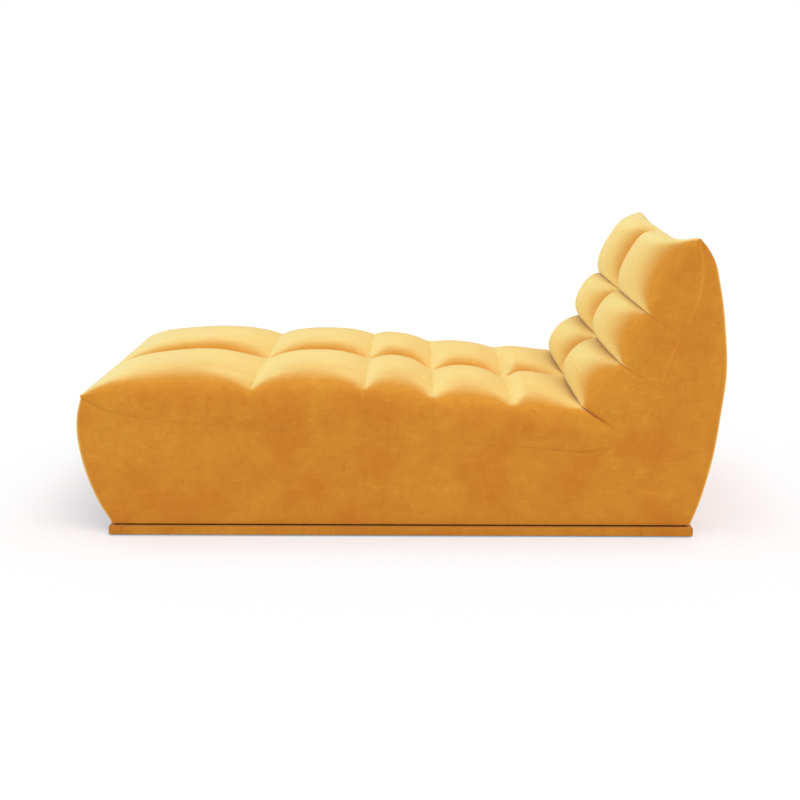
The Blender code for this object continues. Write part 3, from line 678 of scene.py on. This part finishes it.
def crownLine(half, ribSide, ribMid, crown, shoulder):
    # Section across the crown: up the side, over a full shoulder to the crest, down to the seam
    upSteps, turnSteps, overSteps = rolls["crownSteps"]
    crest = rolls["crest"]
    square, deepest, midPower = shoulder
    highest = ribMid + (ribSide - ribMid) * crest + crown
    fall = min(deepest, rolls["shoulderShare"] * highest)
    up = np.linspace(0, 1, upSteps)[:-1] * (highest - fall)
    turn = np.linspace(0, np.pi / 2, turnSteps)
    y = half * (crest + (1 - crest) * np.cos(turn) ** (2 / square))
    h = highest - fall + fall * np.sin(turn) ** (2 / square)
    y[-1], h[-1] = half * crest, highest
    t = np.linspace(crest, 0, overSteps)[1:]
    dip = (1 - rolls["midDip"]) * np.abs(1 - t / crest) ** midPower
    inner = ribMid + (ribSide - ribMid) * t + crown * (1 - dip)
    across = np.concatenate([np.full_like(up, half), y, t * half])
    return np.stack([across, np.concatenate([up, h, inner])], -1)


def rollSection(index, u, base, side, middle, away):
    # One half section of a roll, between the valley and the full crown
    name, crown, before, after, early = rollShapes[index]
    rows = tuftRows[index:index + 2]
    power, fullness, firm = before if u < 0.5 else after
    nearest = rows[0] if u < 0.5 else rows[1]
    ribSide = np.linalg.norm(side - base)
    ribMid = np.linalg.norm(middle - base)
    half = float(halfAt(base))
    drawn = nearest.wide + nearest.tight * math.exp(-away / rolls["pinchReach"])
    bow = rows[0].bow * (1 - u) + rows[1].bow * u
    valley = valleyLine(half, ribSide, ribMid, bow, drawn, nearest.power)
    high = crown * (1 + early * (1 - u) ** 2)
    shoulder = rolls["seatShoulder" if name.startswith("seat") else "backShoulder"]
    full = crownLine(half + rolls["bulge"], ribSide, ribMid, high, shoulder)
    valley, full = (evenly(line, rolls["lineSteps"]) for line in (valley, full))
    start, run = rolls["firmEdge"]
    edge = np.clip((full[:, 0] / half - start) / run, 0, 1)
    power = power * (1 + firm * edge ** 2 * (3 - 2 * edge))
    swell = (1 - abs(2 * u - 1) ** power) ** (1 / fullness)
    line = valley + (full - valley) * swell[:, None]
    line[0, 0] = half
    return line


def rollSkin(index, sides, middles):
    first, last = tuftRows[index].knot, tuftRows[index + 1].knot
    side0, side1 = sides[index], sides[index + 1]
    mid0, mid1 = middles[index], middles[index + 1]
    length = np.linalg.norm(side1 - side0)
    even = np.linspace(0, 1, rolls["columns"] + 1)
    crowd = rolls["columnCrowd"]
    steps = crowd * ((1 - np.cos(np.pi * even)) / 2) + (1 - crowd) * even
    halves, bases, rises = [], [], []
    for u in steps:
        base = seamAt(first + (last - first) * u)
        side = side0 + (side1 - side0) * u
        middle = mid0 + (mid1 - mid0) * u
        halves.append(rollSection(index, u, base, side, middle, min(u, 1 - u) * length))
        bases.append(base)
        rises.append((middle - base) / np.linalg.norm(middle - base))
    halves = smoothed(np.array(halves), rolls["passes"])
    warp = np.linspace(0, 1, rolls["sideRows"] + rolls["topRows"])
    warp = warp - rolls["rowCrowd"] * np.sin(2 * np.pi * warp)
    at = np.clip(warp, 0, 1) * (halves.shape[1] - 1)
    i = np.minimum(at.astype(int), halves.shape[1] - 2)
    part = (at - i)[None, :, None]
    halves = halves[:, i] * (1 - part) + halves[:, i + 1] * part
    halves[:, :, 0] -= seamGroove(np.array(bases)[:, :1], halves[:, :, 1])
    section = np.concatenate([halves * np.array((-1, 1)), halves[:, -2::-1]], 1)
    grid = np.zeros(section.shape[:2] + (3,))
    for c, (base, rise) in enumerate(zip(bases, rises)):
        start = np.broadcast_to(base, (section.shape[1], 2))
        hung = settled(start, section[c, :, 0]) + rise * (section[c, :, 1:2] + rolls["gap"])
        grid[c] = np.stack([hung[:, 0], section[c, :, 0], hung[:, 1]], -1)
    return grid


def rounded(skin):
    # Rounds each valley along the body, but not at its tufts nor down its sides
    steps = np.linalg.norm(np.diff(skin, axis=0), axis=-1)
    run = np.concatenate([np.zeros((1, skin.shape[1])), np.cumsum(steps, 0)])
    across = np.diff(skin, axis=1, append=skin[:, -1:])
    level = np.abs(across[..., 1]) / np.maximum(np.linalg.norm(across, axis=-1), 1e-9)
    level[:, -1] = level[:, 0]
    width = np.full(run.shape, rolls["leastRound"])
    for k, row in enumerate(tuftRows):
        if row.rounding:
            at = k * rolls["columns"]
            held = (1 - np.exp(-(skin[at, :, 1] / rolls["tuftHold"]) ** 2)) * level[at] ** 2
            near = np.exp(-((run - run[at]) / (rolls["roundReach"] * row.rounding)) ** 2)
            width += row.rounding * held * near
    share = np.gradient(run, axis=0)
    result = np.empty_like(skin)
    for r in range(skin.shape[1]):
        apart = (run[:, None, r] - run[None, :, r]) / width[:, None, r]
        weight = np.exp(-apart ** 2 / 2) * share[None, :, r]
        result[:, r] = weight @ skin[:, r] / weight.sum(1)[:, None]
    return result


# The cloth of the rolls: every so many columns and rows of the skin carry it
cloth = {
    "everyColumn": 4,
    "everyRow": 3,
    "quality": 8,
    "mass": 0.3,
    "stiffness": 15,
    "shear": 5,
    "bending": 1.5,
    "spare": 0.002,
    "pressure": 4,
    "frames": 20,
    "cap": 0.005,
    "flushRows": 4,
}


def swollen(sheet, frames):
    # Places of the sheet's points after some frames of cloth
    scene = bpy.context.scene
    for step in range(1, frames + 1):
        scene.frame_set(step)
    mesh = sheet.evaluated_get(bpy.context.evaluated_depsgraph_get()).to_mesh()
    places = np.empty(len(mesh.vertices) * 3)
    mesh.vertices.foreach_get("co", places)
    bpy.data.objects.remove(sheet)
    scene.frame_set(1)
    return places


def filled(skin):
    # Lets the velvet swell as cloth over its filling, held at the tufts, creases and seams
    c = cloth
    net = skin[::c["everyColumn"], ::c["everyRow"]]
    columns, rows = net.shape[:2]
    mesh = bpy.data.meshes.new("velvet_net")
    mesh.from_pydata(net.reshape(-1, 3).tolist(), [], gridFaces(columns, rows))
    sheet = bpy.data.objects.new("velvet_net", mesh)
    bpy.context.scene.collection.objects.link(sheet)
    crease = rolls["columns"] // c["everyColumn"]
    still = [i * rows + j for i in range(columns) for j in range(rows)
             if i % crease == 0 or j in (0, rows // 2, rows - 1)]
    sheet.vertex_groups.new(name="held").add(still, 1.0, "REPLACE")
    modifier = sheet.modifiers.new("cloth", "CLOTH")
    settings = modifier.settings
    settings.quality = c["quality"]
    settings.mass = c["mass"]
    settings.tension_stiffness = settings.compression_stiffness = c["stiffness"]
    settings.shear_stiffness = c["shear"]
    settings.bending_stiffness = c["bending"]
    settings.vertex_group_mass = "held"
    settings.shrink_min = -c["spare"]
    settings.use_pressure = True
    settings.uniform_pressure_force = c["pressure"]
    settings.effector_weights.gravity = 0
    modifier.collision_settings.use_collision = False
    modifier.point_cache.frame_start = 1
    modifier.point_cache.frame_end = c["frames"]
    moved = swollen(sheet, c["frames"]).reshape(net.shape) - net
    far = np.linalg.norm(moved, axis=-1, keepdims=True)
    most, mean = (round(float(length) * 1000, 1) for length in (far.max(), far.mean()))
    print("cloth moved at most", most, "mm, on average", mean)
    fromSeam = np.minimum(np.arange(rows), np.arange(rows)[::-1])
    flush = np.minimum(1, fromSeam / c["flushRows"])[:, None] ** 2
    moved = moved * c["cap"] / (far + c["cap"]) * flush
    for count, every in zip(skin.shape[:2], (c["everyColumn"], c["everyRow"])):
        moved = curveThrough(moved.reshape(len(moved), -1), np.arange(count) / every)
        moved = moved.reshape(count, -1, 3).transpose(1, 0, 2)
    return skin + moved


def underside(skin):
    # The flat bottom of a roll, hanging between its two lowest edges
    low, high = skin[:, :1], skin[:, -1:]
    share = np.linspace(0, 1, skin.shape[1])[None, :, None]
    flat = low + (high - low) * share
    y = flat[..., 1]
    hung = settled(flat[..., ::2], y)
    return np.stack([hung[..., 0], y * rolls["underTuck"], hung[..., 1] - rolls["gap"]], -1)


def dressRolls():
    sides, middles = tuftPoints()
    grids = [rollSkin(index, sides, middles) for index in range(len(rollShapes))]
    skin = filled(rounded(np.concatenate([grids[0]] + [grid[1:] for grid in grids[1:]])))
    for index, (name, *rest) in enumerate(rollShapes):
        first = index * rolls["columns"]
        part = skin[first:first + rolls["columns"] + 1].copy()
        for end, beside in ((0, 1), (-1, -2)):
            inward = part[beside] - part[end]
            part[end] += inward * rolls["gap"] / np.linalg.norm(inward, axis=-1, keepdims=True)
        points, faces = closedShell(part, underside(part))
        piece = addPiece("velvet_" + name, points, faces, rollVelvet)
        upholster(piece, [name])


dressRolls()
print("rolls dressed")


# Side panels

sidePanel = {
    "columns": 150,
    "rows": 44,
    "clear": 0.0003,
    "swingPower": 3,
}


def seamStart():
    # Place on the long seam where the wrapped foot corner meets it
    s = np.linspace(0, 1, body["edgeSteps"])
    p = seamAt(s)
    return float(s[np.argmax(p[:, 0] >= seamKnots[0][0] + body["cornerWrap"])])


def seamEnd():
    # Place on the long seam where the wrapped rear corner meets it
    s = np.linspace(lastKnot - 2, lastKnot, 2 * body["edgeSteps"])
    p = seamAt(s)
    return float(s[np.argmax(p[:, 0] >= rearEdgeX(p[:, 1]) - body["rearWrap"])])


def sideOutline():
    # Grid of X and Z over the side, from the bottom to the long seam
    start, end = seamStart(), seamEnd()
    places = np.linspace(start, end, sidePanel["columns"])
    tops = seamAt(places)
    leftTop, rightTop = tops[0], tops[-1]
    bottom = body["bottom"]
    left = np.array((footEdgeX(bottom) + body["cornerWrap"], bottom))
    right = np.array((rearEdgeX(bottom) - body["rearWrap"], bottom))
    low = seamAt(lowKnot)[0]
    length = right[0] - leftTop[0]
    straight = (low - leftTop[0]) / length
    g = np.where(places <= lowKnot, (tops[:, 0] - leftTop[0]) / length,
                 straight + (1 - straight) * (places - lowKnot) / (end - lowKnot))
    r = np.linspace(0, 1, sidePanel["rows"])
    footZ = bottom + (leftTop[1] - bottom) * r
    rearZ = bottom + (rightTop[1] - bottom) * r
    footSwing = footEdgeX(footZ) + body["cornerWrap"] - (left[0] + (leftTop[0] - left[0]) * r)
    rearSwing = rearEdgeX(rearZ) - body["rearWrap"] - (right[0] + (rightTop[0] - right[0]) * r)
    level = left + (right - left) * g[:, None]
    grid = level[:, None] + (tops - level)[:, None] * r[None, :, None]
    g, power = g[:, None], sidePanel["swingPower"]
    grid[..., 0] += (1 - g) ** power * footSwing[None] + g ** power * rearSwing[None]
    return grid


def dressSides():
    grid = sideOutline()
    run = np.linalg.norm(np.diff(grid, axis=1), axis=-1)
    toTop = np.cumsum(run[:, ::-1], 1)[:, ::-1]
    toTop = np.concatenate([toTop, np.zeros((len(grid), 1))], 1)
    half = halfAt(grid) - seamGroove(grid[:, -1:, 0], toTop)
    inside = np.full(half.shape, body["frameHalf"] + sidePanel["clear"])
    for side, sign in (("left", -1), ("right", 1)):
        outer, inner = (np.stack([grid[..., 0], sign * y, grid[..., 1]], -1) for y in (half, inside))
        points, faces = closedShell(outer, inner)
        piece = addPiece("velvet_side_" + side, points, faces, bodyVelvet)
        starts = ("side_cover_", "side_foam_seat_", "side_foam_back_")
        upholster(piece, [start + side for start in starts])


dressSides()
print("sides dressed")


# Foot and rear

endPanels = {
    "rows": 44,
    "cornerColumns": 8,
    "faceColumns": 40,
    "foam": 0.025,
    "footInnerTop": 0.331,
    "footInnerDrop": 0.001,
    "footInnerShare": 0.9999,
    "rearShare": 0.55,
    "rearLeast": 0.0012,
    "rearInnerDrop": 0.0008,
    "seamSteps": 600,
}


def acrossPoints(wrap):
    # From one side seam round the corner, over the face and round the other corner:
    # Y in metres, and how far in from the outline
    turn = np.linspace(0, np.pi / 2, endPanels["cornerColumns"])
    cornerY = body["halfWidth"] - wrap + wrap * np.cos(turn)
    cornerIn = wrap * (1 - np.sin(turn))
    face = np.linspace(1, -1, endPanels["faceColumns"])[1:-1] * (body["halfWidth"] - wrap)
    y = np.concatenate([cornerY, face, -cornerY[::-1]])
    inward = np.concatenate([cornerIn, np.zeros_like(face), cornerIn[::-1]])
    return -y, inward


def endSkin(edgeX, sign, wrap, top, seamZ):
    # Outer face of an end, which reaches the long seam at both corners
    y, inward = acrossPoints(wrap)
    r = np.linspace(0, 1, endPanels["rows"])
    outer = np.zeros((len(y), len(r), 3))
    for c, (at, inset) in enumerate(zip(y, inward)):
        highest = top + (seamZ - top) * min(1.0, inset / wrap)
        z = body["bottom"] + (highest - body["bottom"]) * r
        x = edgeX(z)
        across = 1 - abs(at / body["halfWidth"]) ** body["endSwellPower"]
        bulge = across * (1 - (2 * r - 1) ** 2) * body["endSwell"]
        hung = settled(np.stack([x + sign * bulge - sign * inset, z], -1), at)
        sideHalf = halfAt(np.stack([x - sign * wrap, z], -1))
        extra = (sideHalf - body["halfWidth"]) * (inset / wrap) ** 2
        outer[c] = np.stack([hung[:, 0], at + math.copysign(1, at) * extra, hung[:, 1]], -1)
    return outer, y, r


def dressFoot():
    e = endPanels
    wrap = body["cornerWrap"]
    bottom = body["bottom"]
    seamZ = float(seamAt(seamStart())[1])
    outer, y, r = endSkin(footEdgeX, -1, wrap, tipZ, seamZ)
    inner = np.zeros_like(outer)
    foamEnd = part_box("foot_foam")[1]
    topZ = min(foamEnd[2], e["footInnerTop"])
    last = e["cornerColumns"] - 1
    for c, at in enumerate(y):
        k = min(c, len(y) - 1 - c)
        if k <= last:
            share = k / last
            z = bottom + (topZ + (seamZ - e["footInnerDrop"] - topZ) * (1 - share) - bottom) * r
            wall = footEdgeX(z) + wrap
            x = wall + (foamEnd[0] - wall) * share
            inY = math.copysign(body["frameHalf"], at)
        else:
            z = bottom + (topZ - bottom) * r
            x = np.full(len(r), foamEnd[0])
            inY = at * body["frameHalf"] / (body["halfWidth"] - wrap) * e["footInnerShare"]
        inner[c] = np.stack([x, np.full(len(r), inY), z], -1)
    points, faces = closedShell(outer, inner)
    piece = addPiece("velvet_foot", points, faces, bodyVelvet)
    upholster(piece, ["foot_cover", "foot_foam"])


def dressRear():
    e = endPanels
    seamZ = float(seamAt(seamEnd())[1])
    outer, y, r = endSkin(rearEdgeX, 1, body["rearWrap"], body["height"], seamZ)
    inner = np.zeros_like(outer)
    fineSeam = seamAt(np.linspace(lowKnot, lastKnot, e["seamSteps"]))
    for c, at in enumerate(y):
        z = outer[c, :, 2]
        room = np.maximum(rearEdgeX(z) - np.interp(z, fineSeam[:, 1], fineSeam[:, 0]), 0)
        thick = np.minimum(e["foam"], e["rearShare"] * room)
        thick[-1] = e["rearLeast"]
        inner[c, :, 0] = outer[c, :, 0] - np.maximum(thick, e["rearLeast"])
        inner[c, :, 1] = at * body["frameHalf"] / body["halfWidth"]
        inner[c, :, 2] = z - e["rearInnerDrop"] * r
    points, faces = closedShell(outer, inner)
    piece = addPiece("velvet_rear", points, faces, bodyVelvet)
    upholster(piece, ["rear_cover", "rear_foam"])


dressFoot()
dressRear()
print("ends dressed")


# Plinth: one covered ring

plinth = {
    "round": 0.0022,
    "roundSteps": 5,
    "faceShares": (0.35, 0.5, 0.65),
    "corner": 0.004,
    "leastCorner": 0.0006,
    "cornerSteps": 6,
    "flange": 0.016,
    "cover": 0.0022,
    "steps": 24,
    "sharpAngle": 60,
}


def plinthOutline(top, bottom):
    # Section of the cover: depth inward and height, round the outside and back along the inside
    ease, flange, cover = plinth["round"], plinth["flange"], plinth["cover"]
    turn = np.linspace(0, np.pi / 2, plinth["roundSteps"])
    outline = [(ease - ease * math.sin(a), bottom + ease - ease * math.cos(a)) for a in turn]
    outline += [(0, bottom + (top - bottom) * share) for share in plinth["faceShares"]]
    outline += [(ease - ease * math.cos(a), top - ease + ease * math.sin(a)) for a in turn]
    outline += [(flange, top), (flange, top - cover), (cover, top - cover),
                (cover, bottom + cover), (flange, bottom + cover), (flange, bottom)]
    return outline


def plinthRing(low, high, depth, z):
    # One line round the plinth, with rounded corners and steps along its straight sides
    corners = ((high[0], low[1], 1, -1, -90), (high[0], high[1], 1, 1, 0),
               (low[0], high[1], -1, 1, 90), (low[0], low[1], -1, -1, 180))
    radius = max(plinth["corner"] - depth, plinth["leastCorner"])
    ring = []
    for x, y, wayX, wayY, begin in corners:
        middleX = x - wayX * (depth + radius)
        middleY = y - wayY * (depth + radius)
        for k in range(plinth["cornerSteps"]):
            angle = math.radians(begin + 90 * k / (plinth["cornerSteps"] - 1))
            ring.append((middleX + radius * math.cos(angle), middleY + radius * math.sin(angle), z))
    line = []
    for i, p in enumerate(ring):
        line.append(p)
        if (i + 1) % plinth["cornerSteps"] == 0:
            q = ring[(i + 1) % len(ring)]
            line += [tuple(a + (b - a) * k / plinth["steps"] for a, b in zip(p, q))
                     for k in range(1, plinth["steps"])]
    return line


def dressPlinth():
    covers = ["plinth_cover_" + side for side in ("left", "right", "foot", "head")]
    boxes = [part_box(cover) for cover in covers]
    low = [min(box[0][k] for box in boxes) for k in range(3)]
    high = [max(box[1][k] for box in boxes) for k in range(3)]
    rings = [plinthRing(low, high, depth, z) for depth, z in plinthOutline(high[2], low[2])]
    count = len(rings[0])
    points = [point for ring in rings for point in ring]
    faces = []
    for i in range(len(rings)):
        a, b = i * count, (i + 1) % len(rings) * count
        faces += [[a + j, a + (j + 1) % count, b + (j + 1) % count, b + j] for j in range(count)]
    piece = addPiece("velvet_plinth", points, faces, plinthVelvet, plinth["sharpAngle"])
    upholster(piece, covers)


dressPlinth()
print("plinth dressed")


# Floor, light and camera

studio = {
    "floor": (0.93, 0.93, 0.93),
    "floorHalf": 40,
    "seenFloor": (1.0, 0.75, 0.62),
    "seenWhite": 1.01,
    "clearFront": -0.75,
    "shadowFront": -0.47,
    "shadowEnd": 0.97,
    "clearEnd": 1.3,
    "clearing": 0.8,
    "dome": 0.845,
    "sun": 0.66,
    "sunAngle": 40,
    "sunFrom": (0.9, -1.2, 2.2),
}
view = {
    "lens": 56.25,
    "sensor": 36,
    "place": (0.0385, -3.7633, 1.1444),
    "down": 12.947,
    "turn": 0.010769,
}
white = (1, 1, 1)


def floorFinish():
    # The camera sees a floor that is white in full light; the glow lights nothing, so the shadow
    # stays, but painted light clears most of it in front and beyond the ends
    s = studio
    f = Finish(bpy.data.materials.new("floor"))
    matt = f.node("ShaderNodeBsdfDiffuse", {}, {"Color": s["floor"]})
    shown = f.node("ShaderNodeBsdfDiffuse", {}, {"Color": s["seenFloor"]})
    lack = [s["seenWhite"] - part for part in s["seenFloor"]]
    glow = f.node("ShaderNodeEmission", {}, {"Color": lack, "Strength": 1.0})
    shown = f.node("ShaderNodeAddShader", {}, {0: shown, 1: glow})
    # Painted light: a white glow, by place, that clears the shadow in front and beyond the ends
    front = f.rise(f.along((0, 1, 0)), (s["clearFront"], s["shadowFront"]))
    ends = f.fall(abs(f.along((1, 0, 0))), (s["shadowEnd"], s["clearEnd"]))
    clear = f.node("ShaderNodeEmission", {}, {"Color": white, "Strength": 1.0})
    cleared = (1 - front * ends) * s["clearing"]
    shown = f.node("ShaderNodeMixShader", {}, {0: cleared, 1: shown, 2: clear})
    seen = f.node("ShaderNodeLightPath", out="Is Camera Ray")
    mixed = f.node("ShaderNodeMixShader", {}, {0: seen, 1: matt, 2: shown})
    f.node("ShaderNodeOutputMaterial", {}, {"Surface": mixed})
    return f.made


def addFloor():
    mesh = bpy.data.meshes.new("floor")
    half = studio["floorHalf"]
    corners = [(-half, -half, 0), (half, -half, 0), (half, half, 0), (-half, half, 0)]
    mesh.from_pydata(corners, [], [(0, 1, 2, 3)])
    mesh.materials.append(floorFinish())
    floor = bpy.data.objects.new("floor", mesh)
    bpy.context.scene.collection.objects.link(floor)


def addSun():
    lamp = bpy.data.lights.new("sun", "SUN")
    lamp.energy = studio["sun"]
    lamp.angle = math.radians(studio["sunAngle"])
    holder = bpy.data.objects.new("sun", lamp)
    holder.rotation_euler = Vector(studio["sunFrom"]).to_track_quat("Z", "Y").to_euler()
    bpy.context.scene.collection.objects.link(holder)


def addWorld():
    # The camera and mirrors see white round a plain dome
    f = Finish(bpy.data.worlds.new("studio"))
    straight = f.node("ShaderNodeLightPath", out="Is Camera Ray")
    mirrored = f.node("ShaderNodeLightPath", out="Is Glossy Ray")
    seen = f.node("ShaderNodeMath", {"operation": "MAXIMUM"}, {0: straight, 1: mirrored})
    dome = f.node("ShaderNodeBackground", {}, {"Color": white, "Strength": studio["dome"]})
    backdrop = f.node("ShaderNodeBackground", {}, {"Color": white, "Strength": 1.0})
    mixed = f.node("ShaderNodeMixShader", {}, {0: seen, 1: dome, 2: backdrop})
    f.node("ShaderNodeOutputWorld", {}, {"Surface": mixed})
    bpy.context.scene.world = f.made


def addCamera():
    data = bpy.data.cameras.new("camera")
    data.lens = view["lens"]
    data.sensor_width = view["sensor"]
    camera = bpy.data.objects.new("camera", data)
    camera.location = view["place"]
    camera.rotation_euler = (math.radians(90 - view["down"]), 0, view["turn"])
    bpy.context.scene.collection.objects.link(camera)
    bpy.context.scene.camera = camera


addFloor()
addWorld()
addSun()
addCamera()
bpy.context.scene.view_settings.view_transform = "Standard"
print("stage set")
